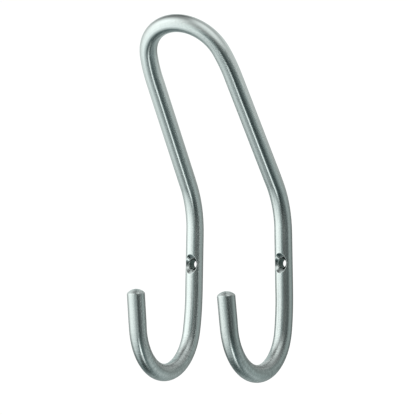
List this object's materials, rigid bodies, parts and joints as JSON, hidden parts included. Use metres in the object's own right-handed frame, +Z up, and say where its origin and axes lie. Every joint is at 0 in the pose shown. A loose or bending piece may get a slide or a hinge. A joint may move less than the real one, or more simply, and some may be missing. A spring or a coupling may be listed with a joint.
{
  "type": "double wall hook",
  "caption": "Wall hook bent from one round rod: a loop that leans out at the top, two hooks that curl up in front below it, and countersunk screw holes through the shanks.",
  "frame": {"origin": "on the wall, midway between the two screw holes", "axes": "+Z up the wall, -Y out from the wall towards the room, X along the line of the two screw holes"},
  "size_m": [0.058, 0.064, 0.1651],
  "materials": {
    "rod": "satin stainless steel, finely ground and lightly polished"
  },
  "bodies": {
    "root": {"hook": "rod"}
  },
  "joints": []
}
